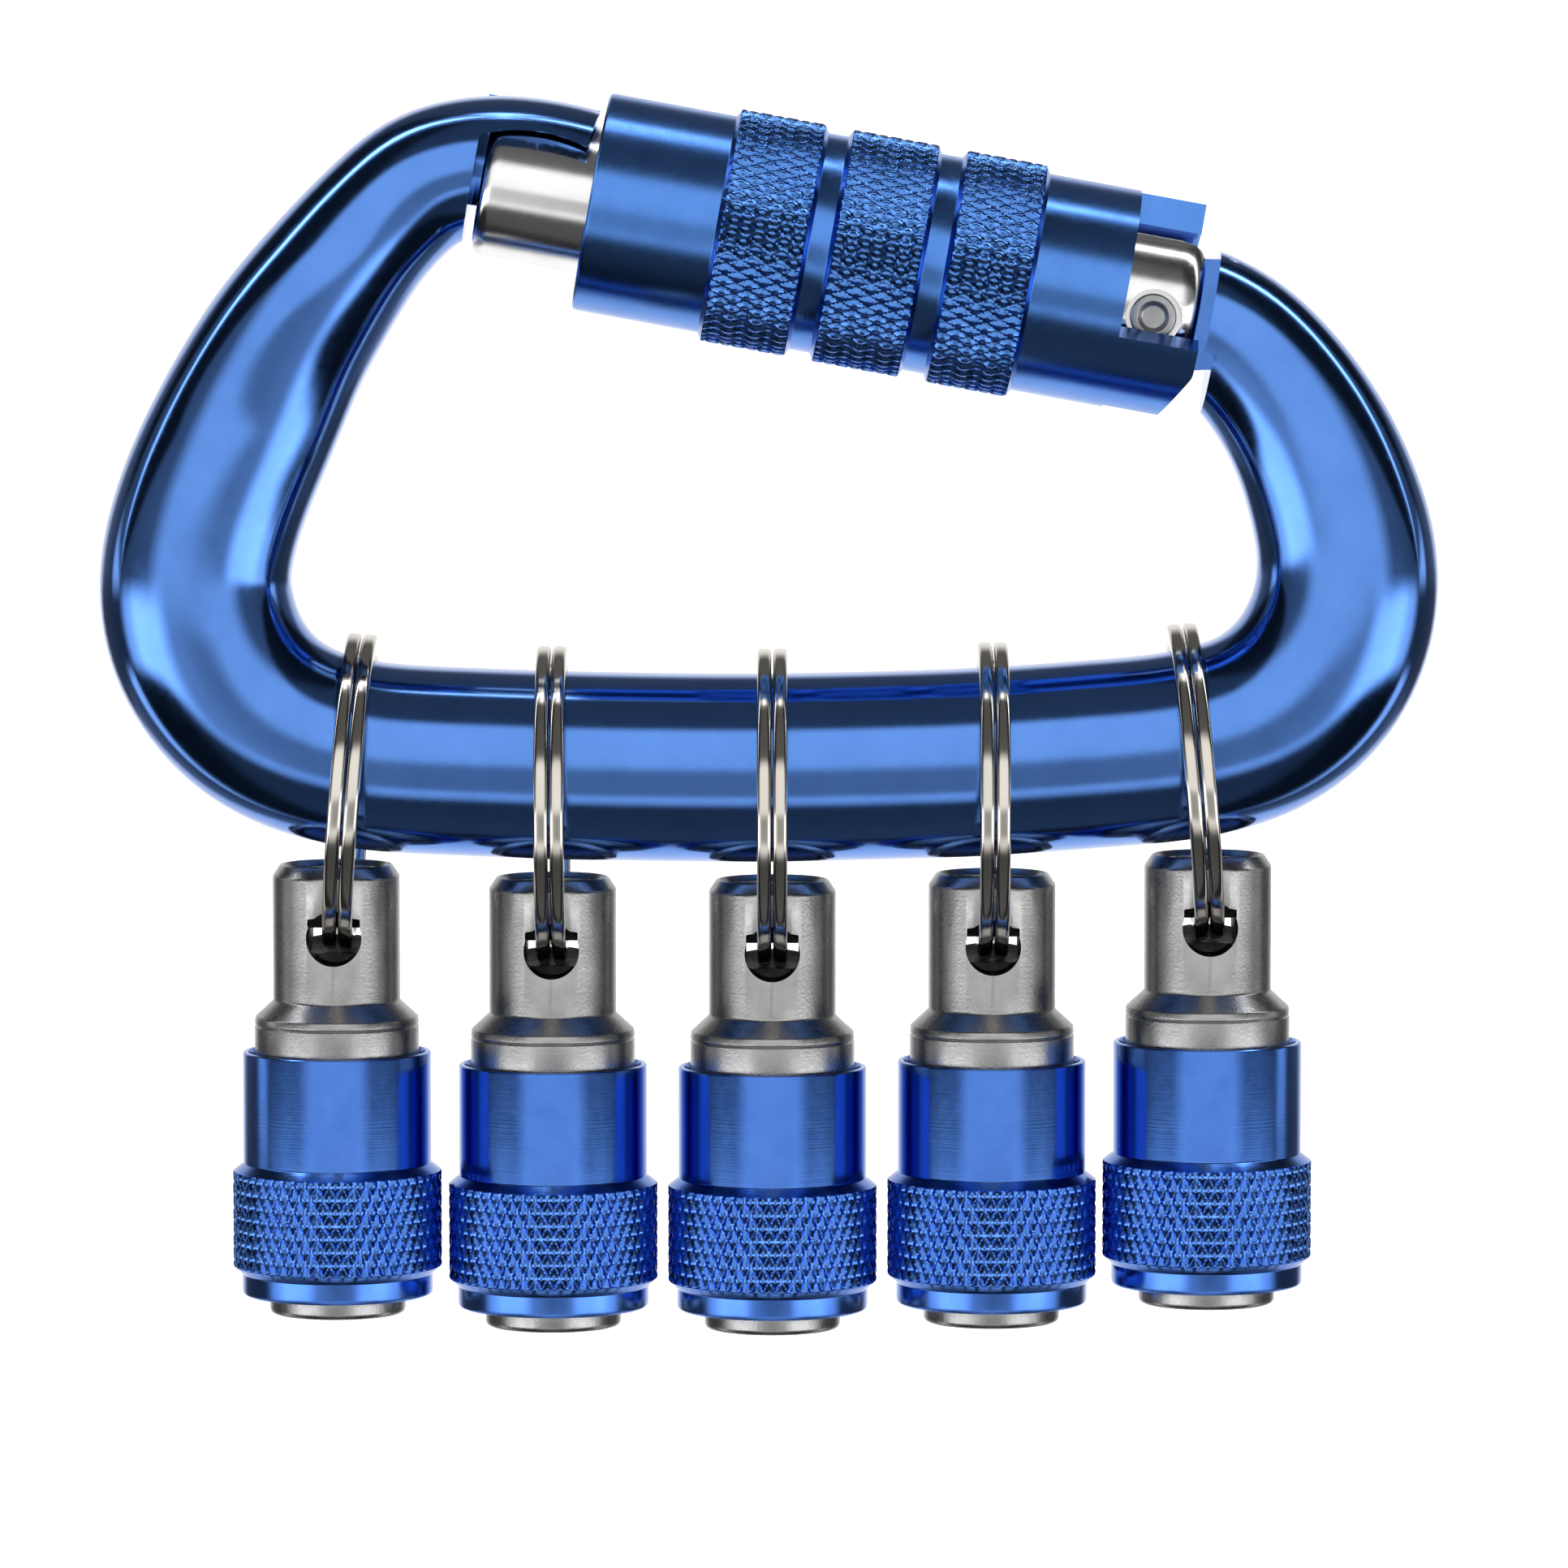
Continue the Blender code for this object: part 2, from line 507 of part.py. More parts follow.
reset()
PARTS = collection("carabiner_bit_keyring")
CUTTERS = collection("cutters", hidden=True)
GATE = gate_matrix()
ANODISED = material("anodised_blue", (0.03, 0.10, 0.45), 1.0, 0.22)
SATIN_BLUE = material("satin_blue_anodise", (0.04, 0.13, 0.50), 1.0, 0.38)
BRIGHT_BLUE = material("collar_blue_anodise", (0.03, 0.12, 0.58), 1.0, 0.34)
SILVER = material("bare_aluminium", (0.78, 0.78, 0.80), 1.0, 0.28)
STEEL = material("satin_steel", (0.50, 0.50, 0.51), 1.0, 0.42)
CHROME = material("bearing_steel", (0.75, 0.75, 0.77), 1.0, 0.12)
NICKEL = material("nickel_plate", (0.74, 0.71, 0.66), 1.0, 0.18)
SPRING = material("spring_steel", (0.42, 0.42, 0.44), 1.0, 0.35)
BRASS = material("bush_brass", (0.72, 0.55, 0.26), 1.0, 0.35)
build_frame()
build_sleeve(build_gate())
for index, (holder_x, ring_x, ring_lean) in enumerate(HOLDERS, 1):
    ring_axis, ring_middle = build_ring(index, ring_x, ring_lean)
    build_holder(index, holder_x, ring_axis, ring_middle)
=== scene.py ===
"""Looks of the carabiner keyring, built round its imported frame.

Lengths in the tables are millimetres. Each piece is drawn where the frame's joints and boxes say.
"""
import json
from math import asin, ceil, cos, hypot, pi, radians, sin, sqrt, tan

import bmesh
import bpy
from mathutils import Matrix, Vector


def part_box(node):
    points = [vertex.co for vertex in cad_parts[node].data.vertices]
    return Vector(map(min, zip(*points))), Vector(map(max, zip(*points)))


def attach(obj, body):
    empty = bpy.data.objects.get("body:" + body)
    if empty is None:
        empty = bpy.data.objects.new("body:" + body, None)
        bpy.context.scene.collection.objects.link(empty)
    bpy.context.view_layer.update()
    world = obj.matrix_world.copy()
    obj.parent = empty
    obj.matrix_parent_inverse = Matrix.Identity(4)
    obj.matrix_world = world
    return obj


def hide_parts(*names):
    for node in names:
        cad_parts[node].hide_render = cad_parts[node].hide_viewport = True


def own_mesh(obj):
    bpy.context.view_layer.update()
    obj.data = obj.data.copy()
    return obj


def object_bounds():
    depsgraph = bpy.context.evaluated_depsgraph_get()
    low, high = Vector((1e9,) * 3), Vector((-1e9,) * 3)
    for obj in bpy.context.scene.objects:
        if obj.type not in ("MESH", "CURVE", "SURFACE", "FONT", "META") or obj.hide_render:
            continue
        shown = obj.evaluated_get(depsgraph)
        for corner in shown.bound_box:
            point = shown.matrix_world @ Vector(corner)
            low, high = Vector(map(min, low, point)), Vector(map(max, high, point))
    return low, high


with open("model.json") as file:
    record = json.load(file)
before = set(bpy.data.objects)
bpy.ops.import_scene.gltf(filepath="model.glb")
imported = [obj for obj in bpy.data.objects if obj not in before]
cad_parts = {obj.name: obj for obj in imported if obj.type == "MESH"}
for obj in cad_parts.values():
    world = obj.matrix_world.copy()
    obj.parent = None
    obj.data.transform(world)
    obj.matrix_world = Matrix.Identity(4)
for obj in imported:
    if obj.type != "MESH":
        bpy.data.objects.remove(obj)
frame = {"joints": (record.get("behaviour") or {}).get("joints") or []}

CAD_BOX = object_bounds()
MM = 0.001
JOINTS = {joint["name"]: joint for joint in frame["joints"]}

# The frame's centre line (x, z) and width, from the nose round to the hinge.
FRAME_STATIONS = (
    (12.5, 3.40, 9.0), (10.0, 4.25, 9.1), (6.2, 5.15, 9.2), (2.3, 5.35, 9.3), (-1.7, 4.35, 9.4),
    (-5.0, 1.45, 9.6), (-7.0, -0.9, 10.1), (-9.0, -3.6, 10.8), (-10.9, -6.4, 11.4),
    (-12.5, -9.4, 12.0), (-14.0, -12.5, 12.4), (-15.4, -15.6, 12.6),
    (-16.5, -18.8, 12.7), (-17.1, -22.1, 12.8), (-16.7, -25.5, 13.0),
    (-15.3, -28.6, 12.9), (-13.0, -31.2, 12.8), (-10.0, -32.9, 12.7), (-6.7, -33.8, 12.6),
    (-3.4, -34.2, 12.6), (3.4, -34.5, 12.6), (10.2, -34.7, 12.6), (20.3, -34.8, 12.6),
    (30.5, -34.6, 12.6), (37.3, -34.3, 12.6), (44.1, -33.8, 12.6), (47.4, -33.5, 12.6),
    (50.8, -32.9, 12.7), (54.0, -31.8, 12.7), (56.8, -29.7, 12.7), (58.7, -26.9, 12.6),
    (59.7, -23.6, 12.3), (59.7, -20.2, 12.0), (58.9, -16.9, 11.6), (57.7, -13.7, 11.1),
    (56.1, -10.8, 10.6), (54.0, -8.05, 10.2), (51.6, -5.9, 9.9), (48.6, -4.5, 9.7),
    (45.7, -3.7, 9.6),
)
FRAME_DEPTH_RATIO = 0.93
SECTION_POWER = 2.3               # above 2, the section's sides flatten

# Gate and sleeve, measured along the gate's axis (s) and across it into the loop (t).
HINGE_S, HINGE_T = 38.0, 0.73
GATE_RADIUS, GATE_NOSE_S, GATE_END_S = 4.95, -7.3, 41.0
NOSE_RECESS_RADIUS, NOSE_OUTER_RADIUS, NOSE_RECESS_S, NOSE_CHEEK_T = 5.25, 5.8, -7.9, 1.8
NOSE_SWELL = (0.22, 20, -12, 12)  # share of extra depth, left of x, from z, over a height
NOSE_TOP_T = -5.0                 # the cheek's upper corner is cut off here, inside the loop's outline
NOSE_LIP_T, NOSE_LIP_ARCH, NOSE_SWEEP_RADIUS = -2.95, 1.0, 39.0
SHOULDER_S, SHOULDER_RELIEF_S, SHOULDER_RELIEF_T = 41.8, 42.4, 2.5
TENON_HALF, TENON_RADIUS, FORK_HALF, FORK_FLOOR_S = 1.8, 3.9, 2.1, 33.4
SLEEVE_RADIUS, KNURL_RADIUS, SLEEVE_BORE = 7.3, 7.82, 5.25
SLEEVE_BANDS = ((8.85, 14.45), (16.4, 22.1), (24.1, 29.4))
NOTCH_S, NOTCH_ANGLES = 35.9, (-102, 19)
KNURL_PITCH, KNURL_LENGTH, KNURL_DEPTH = 0.86, 1.75, 0.22   # around, along, deep
KNURL_ROW, KNURL_SIDES = 0.13, 400      # mesh rows and sides that draw the diamonds
KNURL_INSIDE = 6.5                      # a knurled surface lies further out than this

# Holders, measured down from the rim.
RING_INNER, RING_WALL, COIL_WIDTH, COIL_STEP = 9.3, 1.3, 0.94, 1.06
HOLDER_LENGTH, NECK_RADIUS, LOWER_RADIUS = 30.3, 4.25, 4.55
HOLE_RADIUS, HOLE_DROP, HOLE_FLOOR_Y, BALL_DROP, BALL_OUT = 1.85, 4.75, -1.0, 26.5, 3.5
RIM_BELOW_RING, TUNNEL = 4.75, (9.1, 10.8, 1.75)
SOCKET_FLATS, SOCKET_DEPTH = 6.45, 9.5
COLLAR_TOP, COLLAR_END, COLLAR_KNURL = 12.65, 29.05, 7.0
COLLAR_SPRING = (-25.25, -15.15)        # heights of its ends

# Studio: the camera looks at a point in the frame's plane from the front, a little above.
VIEW_CENTRE, VIEW_WIDTH = (22.2, -35.9), 104.8
VIEW_DISTANCE, VIEW_RISE = 590, 4.6     # the rise is in degrees
STUDIO_STRENGTH, FLOOR_GLOW, LAMP_WATTS = 1.25, 0.8, 14
FLOOR_HALF, FLOOR_DROP = 2500, 60       # half its side, and how far it lies below the object


# ---------------------------------------------------------------- mesh helpers

def new_mesh(name, points, faces):
    mesh = bpy.data.meshes.new(name)
    mesh.from_pydata([Vector(p) * MM for p in points], [], faces)
    mesh.validate()
    mesh.update()
    return mesh


def faced_out(mesh):
    """Turn every face of a closed mesh outwards."""
    bm = bmesh.new()
    bm.from_mesh(mesh)
    bmesh.ops.recalc_face_normals(bm, faces=bm.faces)
    bm.to_mesh(mesh)
    bm.free()
    return mesh


def smoothed(mesh, angle=32):
    """Shade the mesh smooth, except over edges sharper than the angle."""
    for face in mesh.polygons:
        face.use_smooth = True
    mesh.set_sharp_from_angle(angle=radians(angle))
    return mesh


def rounded(profile, steps=4):
    """A closed outline of (x, y, fillet radius), with an arc at each corner that has a radius."""
    out = []
    for i, (x, y, radius) in enumerate(profile):
        here = Vector((x, y))
        back = Vector(profile[i - 1][:2]) - here
        on = Vector(profile[(i + 1) % len(profile)][:2]) - here
        if radius <= 0 or back.length < 1e-6 or on.length < 1e-6:
            out.append((x, y))
            continue
        half = back.angle(on) / 2
        reach = min(radius / tan(half), back.length * 0.48, on.length * 0.48)
        a, b = here + back.normalized() * reach, here + on.normalized() * reach
        for k in range(steps + 1):
            u = k / steps
            out.append(tuple(a * (1 - u) ** 2 + here * 2 * u * (1 - u) + b * u ** 2))
    return out


def knurl(angle, height, radius):
    """How far a knurled surface lies below its crest: crossed grooves with flat-topped diamonds."""
    count = round(2 * pi * radius / KNURL_PITCH)
    around, along_z = count * angle / (2 * pi), height / KNURL_LENGTH
    ridge = [1 - abs(2 * (g % 1) - 1) for g in (around + along_z, around - along_z)]
    return KNURL_DEPTH * (1 - min(1.0, 1.5 * min(ridge)))


def spun(name, outline, sides=96, bands=()):
    """A closed (radius, height) outline turned about Z. Between the heights of a band it is knurled."""
    rows = []
    for (r0, z0), (r1, z1) in zip(outline, outline[1:] + outline[:1]):
        rows.append((r0, z0))
        on_band = min(r0, r1) > KNURL_INSIDE and any(
            low - 1e-6 <= min(z0, z1) and max(z0, z1) <= high + 1e-6 for low, high in bands)
        if on_band:
            cuts = ceil(abs(z1 - z0) / KNURL_ROW)
            rows += [(r0 + (r1 - r0) * k / cuts, z0 + (z1 - z0) * k / cuts) for k in range(1, cuts)]
    points, faces, start = [], [], []
    for r, z in rows:
        start.append((len(points), r < 1e-6))
        if r < 1e-6:
            points.append((0, 0, z))
            continue
        knurled = r > KNURL_INSIDE and any(low - 0.01 <= z <= high + 0.01 for low, high in bands)
        for k in range(sides):
            a = 2 * pi * k / sides
            depth = knurl(a, z, r) if knurled else 0
            points.append(((r - depth) * cos(a), (r - depth) * sin(a), z))
    count = len(rows)
    for i in range(count):
        (a, a_axis), (b, b_axis) = start[i], start[(i + 1) % count]
        if a_axis and b_axis:
            continue
        for k in range(sides):
            n = (k + 1) % sides
            if a_axis:
                faces.append((a, b + k, b + n))
            elif b_axis:
                faces.append((a + n, a + k, b))
            else:
                faces.append((a + n, a + k, b + k, b + n))
    return faced_out(new_mesh(name, points, faces))


def lofted(name, path, section, up=(0, 0, 1)):
    """A section (across, up) carried along a path of (point, scale), with flat ends."""
    up = Vector(up)
    spots = [Vector(point) for point, _ in path]
    points, faces, size = [], [], len(section)
    for i, (spot, scale) in enumerate(zip(spots, (s for _, s in path))):
        tangent = spots[min(i + 1, len(spots) - 1)] - spots[max(i - 1, 0)]
        across = up.cross(tangent).normalized()
        rise = tangent.cross(across).normalized()
        points += [spot + (across * a + rise * b) * scale for a, b in section]
    for i in range(len(spots) - 1):
        for k in range(size):
            n = (k + 1) % size
            faces.append((i * size + k, i * size + n, (i + 1) * size + n, (i + 1) * size + k))
    faces.append(tuple(range(size)))
    faces.append(tuple(reversed(range((len(spots) - 1) * size, len(spots) * size))))
    return faced_out(new_mesh(name, points, faces))


def drum(radius, low, high, sides=96, across=None):
    """A cylinder along Z, or through the point across = (x, z) with its ends measured to the front."""
    mesh = spun("drum", [(0, high), (radius, high), (radius, low), (0, low)], sides)
    if across:
        mesh.transform(Matrix.Rotation(pi / 2, 4, "X"))
        mesh.transform(Matrix.Translation((across[0] * MM, 0, across[1] * MM)))
    return mesh


def plate(outline, low, high, across=False):
    """An outline in XY extruded along Z, or drawn in XZ and extruded from low to high to the front."""
    size = len(outline)
    points = [(x, y, z) for z in (low, high) for x, y in outline]
    faces = [tuple(reversed(range(size))), tuple(range(size, 2 * size))]
    faces += [(k, (k + 1) % size, size + (k + 1) % size, size + k) for k in range(size)]
    mesh = faced_out(new_mesh("plate", points, faces))
    if across:
        mesh.transform(Matrix.Rotation(pi / 2, 4, "X"))
    return mesh


def scratch(name, mesh):
    """A linked object that applied() takes away again."""
    made = bpy.data.objects.new(name, mesh)
    bpy.context.scene.collection.objects.link(made)
    return made


def applied(work, *tools):
    """The mesh that an object's modifiers make. The object and its tools are removed."""
    bpy.context.view_layer.update()
    graph = bpy.context.evaluated_depsgraph_get()
    made = bpy.data.meshes.new_from_object(work.evaluated_get(graph))
    for obj in (work, *tools):
        bpy.data.objects.remove(obj, do_unlink=True)
    return made


def joined(mesh, *steps):
    """Apply Boolean steps of (operation, mesh) and return the finished mesh."""
    work, tools = scratch("work", mesh), []
    for operation, other in steps:
        tools.append(scratch("tool", other))
        step = work.modifiers.new("step", "BOOLEAN")
        step.operation, step.solver, step.object = operation, "EXACT", tools[-1]
    return applied(work, *tools)


def softened(mesh, width, angle=40):
    """Round the edges that are sharper than the angle."""
    work = scratch("work", mesh)
    edge = work.modifiers.new("edge", "BEVEL")
    edge.width, edge.segments, edge.limit_method = width * MM, 2, "ANGLE"
    edge.angle_limit = radians(angle)
    return applied(work)


def place(name, mesh, matrix, body, node, material, angle=32):
    """Put a finished mesh into the scene as a piece that stands for its CAD node."""
    mesh.transform(matrix)
    mesh.materials.clear()
    mesh.materials.append(material)
    piece = bpy.data.objects.new(name, smoothed(mesh, angle))
    bpy.context.scene.collection.objects.link(piece)
    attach(piece, body)
    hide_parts(node)
    return piece


# ---------------------------------------------------------------- materials

class Nodes:
    """Short names for building one material's nodes."""

    def __init__(self, name, metallic=1.0):
        self.material = bpy.data.materials.new(name)
        self.material.use_nodes = True
        self.tree = self.material.node_tree
        self.shader = self.tree.nodes["Principled BSDF"]
        self.shader.inputs["Metallic"].default_value = metallic
        self.where = self.add("ShaderNodeTexCoord").outputs["Object"]

    def add(self, kind, **values):
        node = self.tree.nodes.new(kind)
        for key, value in values.items():
            if hasattr(node, key):
                setattr(node, key, value)
            else:
                node.inputs[key.replace("_", " ")].default_value = value
        return node

    def link(self, source, target):
        self.tree.links.new(source, target)

    def noise(self, per_mm, detail=3.0):
        """Noise with the given number of features to a millimetre."""
        node = self.add("ShaderNodeTexNoise", Scale=per_mm / MM, Detail=detail)
        self.link(self.where, node.inputs["Vector"])
        return node.outputs["Fac"]

    def spread(self, source, low, high):
        """The middle of a noise's range, spread from low to high."""
        node = self.add("ShaderNodeMapRange")
        for key, value in zip(("From Min", "From Max", "To Min", "To Max"), (0.3, 0.7, low, high)):
            node.inputs[key].default_value = value
        self.link(source, node.inputs["Value"])
        return node.outputs["Result"]

    def mix(self, factor, first, second):
        node = self.add("ShaderNodeMix", data_type="RGBA")
        self.link(factor, node.inputs["Factor"])
        node.inputs["A"].default_value = (*first, 1)
        node.inputs["B"].default_value = (*second, 1)
        return node.outputs["Result"]

    def bump(self, height, distance, below=None):
        """A normal that rises by the distance in mm, laid over the one below."""
        node = self.add("ShaderNodeBump", Strength=1.0, Distance=distance * MM)
        self.link(height, node.inputs["Height"])
        if below:
            self.link(below, node.inputs["Normal"])
        return node.outputs["Normal"]


def metal(name, dark, light, rough, grain, coat=0.0, peel=0.0):
    """A metal with two tones mixed by fine noise. grain is (features to a mm, height in mm), and peel
    is the height of a soft orange-peel wave."""
    made = Nodes(name)
    shader = made.shader
    tone = made.spread(made.noise(0.35, 4.0), 0.0, 1.0)
    made.link(made.mix(tone, dark, light), shader.inputs["Base Color"])
    made.link(made.spread(made.noise(1.6, 5.0), rough[0], rough[1]), shader.inputs["Roughness"])
    normal = made.bump(made.noise(grain[0], 4.0), grain[1])
    if peel:
        normal = made.bump(made.noise(0.22, 2.0), peel, below=normal)
    made.link(normal, shader.inputs["Normal"])
    shader.inputs["Coat Weight"].default_value = coat
    shader.inputs["Coat Roughness"].default_value = 0.08
    return made.material


def turned_metal(name, dark, light, rough, axis, lines, depth, blast=0.0):
    """A turned metal: fine tool lines round the axis, and blasted grain where blast is given."""
    made = Nodes(name)
    shader = made.shader
    made.link(made.mix(made.spread(made.noise(0.5, 5.0), 0.0, 1.0), dark, light),
              shader.inputs["Base Color"])
    along_axis = made.add("ShaderNodeVectorMath", operation="DOT_PRODUCT")
    made.link(made.where, along_axis.inputs[0])
    along_axis.inputs[1].default_value = axis
    cut = made.add("ShaderNodeTexNoise", noise_dimensions="1D", Scale=lines / MM, Detail=2.0)
    made.link(along_axis.outputs["Value"], cut.inputs["W"])
    normal = made.bump(cut.outputs["Fac"], depth)
    if blast:
        normal = made.bump(made.noise(5.5, 3.0), blast, below=normal)
    made.link(normal, shader.inputs["Normal"])
    made.link(made.spread(made.noise(2.2, 4.0), rough[0], rough[1]), shader.inputs["Roughness"])
    return made.material


def gate_frame():
    """The gate's own axes: X is t, into the loop; Z is s, towards the hinge."""
    s_axis = Vector(JOINTS["sleeve_twist"]["axis"]).normalized()
    y_axis = Vector((0, 1, 0))
    t_axis = y_axis.cross(s_axis)
    origin = Vector(JOINTS["gate_swing"]["pos_m"]) - (s_axis * HINGE_S + t_axis * HINGE_T) * MM
    matrix = Matrix((t_axis, y_axis, s_axis)).transposed().to_4x4()
    matrix.translation = origin
    return matrix


# ---------------------------------------------------------------- carabiner

def frame_path():
    """The centre line, drawn as a smooth curve and evened out so that its reflections run clean."""
    ends = [tuple(2 * a - b for a, b in zip(*FRAME_STATIONS[:2]))] + list(FRAME_STATIONS)
    ends.append(tuple(2 * a - b for a, b in zip(FRAME_STATIONS[-1], FRAME_STATIONS[-2])))
    dense = []
    for i in range(1, len(ends) - 2):
        for u in (k / 12 for k in range(12)):
            dense.append(Vector([
                0.5 * (2 * b + (c - a) * u + (2 * a - 5 * b + 4 * c - d) * u * u
                       + (3 * b - a - 3 * c + d) * u ** 3)
                for a, b, c, d in zip(*ends[i - 1:i + 3])]))
    dense.append(Vector(FRAME_STATIONS[-1]))
    lengths = [0.0]
    for a, b in zip(dense, dense[1:]):
        lengths.append(lengths[-1] + hypot(b.x - a.x, b.y - a.y))
    count, even, j = 260, [], 0
    for i in range(count + 1):
        want = lengths[-1] * i / count
        while j < len(lengths) - 2 and lengths[j + 1] < want:
            j += 1
        u = (want - lengths[j]) / (lengths[j + 1] - lengths[j])
        even.append(dense[j].lerp(dense[j + 1], u))
    for _ in range(8):
        even = [even[0]] + [(a + 2 * b + c) / 4 for a, b, c in zip(even, even[1:], even[2:])] + [even[-1]]
    return [((x, 0, z), w) for x, z, w in even]


def frame_section(points=56):
    """A rounded outline a unit high, its front and back flattened."""
    out = []
    for k in range(points):
        a = 2 * pi * k / points
        c, s = cos(a), sin(a)
        reach = (abs(c) ** SECTION_POWER + abs(s) ** SECTION_POWER) ** (-1 / SECTION_POWER)
        out.append((0.5 * c * reach, 0.5 * FRAME_DEPTH_RATIO * s * reach))
    return out


def nose_arch():
    """The edge of the nose's front lip, arched over the gate's end."""
    low, high = NOSE_RECESS_S, 0.3
    mid, half = (low + high) / 2, (high - low) / 2 + 0.25
    radius = (half ** 2 + NOSE_LIP_ARCH ** 2) / (2 * NOSE_LIP_ARCH)
    arc = []
    for i in range(-12, 13):
        step = half * i / 12
        t = NOSE_LIP_T - NOSE_LIP_ARCH + radius - sqrt(radius ** 2 - step ** 2)
        arc.append((t, max(mid + step, low)))
    return arc


def build_frame(gate):
    """The loop with its swollen nose, the gate's pocket and cheek, and the hinge's tenon."""
    body = lofted("frame", frame_path(), frame_section(), up=(0, 1, 0))
    share, right, bottom, height = NOSE_SWELL
    for vert in body.vertices:
        rise = min(max((vert.co.z / MM - bottom) / height, 0), 1)
        if vert.co.x < right * MM:
            vert.co.y *= 1 + share * rise * rise * (3 - 2 * rise)
    body.transform(gate.inverted())
    low, far = NOSE_RECESS_S, 14        # far is clear of the loop on every side
    cheek = joined(
        drum(NOSE_OUTER_RADIUS, low - 1, 0.5, 128),
        ("DIFFERENCE", plate([(-8, -13), (NOSE_TOP_T, -13), (NOSE_TOP_T, low), (-8, low)], -8, 8,
                             across=True)),
        ("DIFFERENCE", plate([(NOSE_CHEEK_T, -13), (far, -13), (far, 2), (NOSE_CHEEK_T, 2)], -8, 8,
                             across=True)),
        ("DIFFERENCE", plate([(-8, -13), (8, -13), (8, 2), (-8, 2)], -0.5, 8, across=True)))
    sweep = [(HINGE_T - NOSE_SWEEP_RADIUS * sin(a), HINGE_S - NOSE_SWEEP_RADIUS * cos(a))
             for a in (radians(-3 + 0.75 * i) for i in range(21))]
    tenon = [(HINGE_T + TENON_RADIUS * sin(a), HINGE_S + TENON_RADIUS * cos(a))
             for a in (radians(90 + 180 * i / 24) for i in range(25))]
    tenon += [(-3.9, 42.6), (-1.5, 46), (2.6, 46), (3.4, 43)]
    block = [(-14, 25), (-14, SHOULDER_S), (14, SHOULDER_S), (14, 25)]
    relief = [(SHOULDER_RELIEF_T, 25), (SHOULDER_RELIEF_T, SHOULDER_RELIEF_S),
              (14, SHOULDER_RELIEF_S), (14, 25)]
    mesh = joined(
        body,
        ("UNION", cheek),
        ("DIFFERENCE", drum(NOSE_RECESS_RADIUS, low, 6, 128)),
        ("DIFFERENCE", plate([(0, low), (far, low), (far, 6), (0, 6)], -NOSE_RECESS_RADIUS, 8,
                             across=True)),
        ("DIFFERENCE", plate(nose_arch() + [(far, 1.5), (far, low)], 0, 8, across=True)),
        ("DIFFERENCE", plate(sweep + [(sweep[-1][0], 8), (sweep[0][0], 8)], -8, 8, across=True)),
        ("DIFFERENCE", plate(block, -8, 8, across=True)),
        ("DIFFERENCE", plate(relief, -8, 8, across=True)),
        ("UNION", plate(tenon, -TENON_HALF, TENON_HALF, across=True)),
        ("DIFFERENCE", drum(1.3, -4, 4, 48, across=(HINGE_T, HINGE_S))))
    place("anodised_frame", softened(mesh, 0.12, 48), gate, "frame_body", "frame",
          LOOK["frame"], 30)


def build_gate(gate):
    """The turned gate, its rivet, its spring and the pin that the spring pushes."""
    r = GATE_RADIUS
    body = spun("gate", rounded([
        (0, GATE_END_S, 0), (r, GATE_END_S, 1.7), (r, 11.0, 0), (5.9, 11.0, 0.1), (5.9, 10.2, 0.1),
        (r, 10.2, 0), (r, GATE_NOSE_S, 0.9), (0, GATE_NOSE_S, 0)]), 128)
    where = (HINGE_T, HINGE_S)
    slot = [(-8, FORK_FLOOR_S), (-8, 44), (8, 44), (8, FORK_FLOOR_S)]
    mesh = joined(
        body,
        ("DIFFERENCE", plate(slot, -FORK_HALF, FORK_HALF, across=True)),
        ("DIFFERENCE", drum(2.3, 18, FORK_FLOOR_S + 1, 48)),
        ("DIFFERENCE", drum(1.3, -7, 7, 48, across=where)),
        ("DIFFERENCE", drum(1.85, 3.9, 7, 64, across=where)),
        ("DIFFERENCE", drum(1.85, -7, -3.9, 64, across=where)))
    place("bare_gate", softened(mesh, 0.1, 48), gate, "gate_body", "gate",
          LOOK["silver"])

    half = [(0, 4.2, 0), (0.75, 4.2, 0.2), (1.05, 4.52, 0.1), (1.53, 4.45, 0.15), (1.53, 4.15, 0),
            (1.0, 4.15, 0)]
    rivet = spun("rivet", rounded(half + [(a, -b, c) for a, b, c in reversed(half)]), 64)
    rivet.transform(Matrix.Translation((HINGE_T * MM, 0, HINGE_S * MM)) @ Matrix.Rotation(pi / 2, 4, "X"))
    place("rivet_turned", rivet, gate, "frame_body", "hinge_rivet", LOOK["rivet"])

    place("gate_coil", coil(1.6, 0.5, 18.4, 29.6, 6), gate, "gate_body", "gate_spring",
          LOOK["spring"])
    pin = spun("plunger", rounded([(0, 33.6, 0), (2.0, 33.5, 1.4), (2.0, 30, 0.2), (0, 30, 0)]), 48)
    place("plunger_pin", pin, gate, "gate_body", "gate_plunger", LOOK["steel"])


def coil(radius, wire, low, high, turns, steps=36):
    """A compression spring of round wire with closed ends."""
    low, high = low + wire / 2, high - wire / 2
    path, count = [], int(turns * steps)
    for i in range(count + 1):
        turn = i / steps
        part = min(max((turn - 0.75) / (turns - 1.5), 0), 1)
        lift = wire * 1.12 * (min(turn, 0.75) + max(turn - turns + 0.75, 0))
        z = low + lift + (high - low - 1.5 * 1.12 * wire) * part
        path.append(((radius * cos(2 * pi * turn), radius * sin(2 * pi * turn), z), wire / 2))
    return lofted("coil", path, [(cos(2 * pi * k / 12), sin(2 * pi * k / 12)) for k in range(12)])


